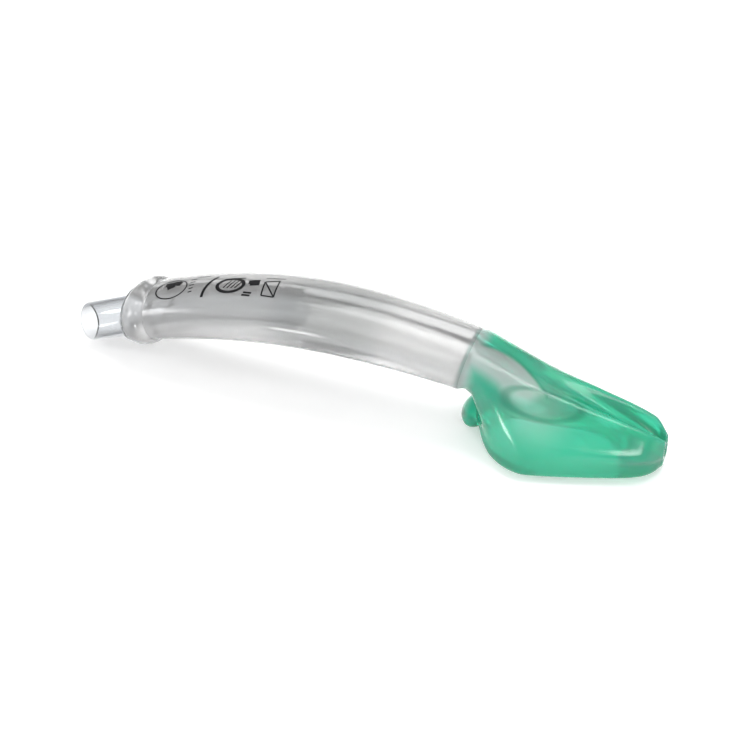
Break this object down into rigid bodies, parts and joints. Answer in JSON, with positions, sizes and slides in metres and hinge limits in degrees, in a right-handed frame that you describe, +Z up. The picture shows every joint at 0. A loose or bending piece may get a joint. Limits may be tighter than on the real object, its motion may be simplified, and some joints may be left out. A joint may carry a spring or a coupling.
{
  "type": "laryngeal mask airway",
  "caption": "Curved clear airway tube with a male cone at one end and a soft green leaf-shaped cuff with an open bowl at the other.",
  "frame": {"origin": "under the middle of the part's box, on the surface that it lies on", "axes": "+X along the airway from the connector's mouth to the cuff's tip, +Y across, away from the side that the airway bore is offset to, +Z up, with the bowl facing down"},
  "size_m": [0.2274, 0.0481, 0.044],
  "materials": {
    "clear_connector": "clear rigid moulding, polished",
    "clear_soft_tube": "clear soft elastomer, satin",
    "green_gel": "translucent green gel, soft gloss"
  },
  "bodies": {
    "root": {"connector": "clear_connector", "airway_tube": "clear_soft_tube", "cuff": "green_gel"}
  },
  "joints": []
}
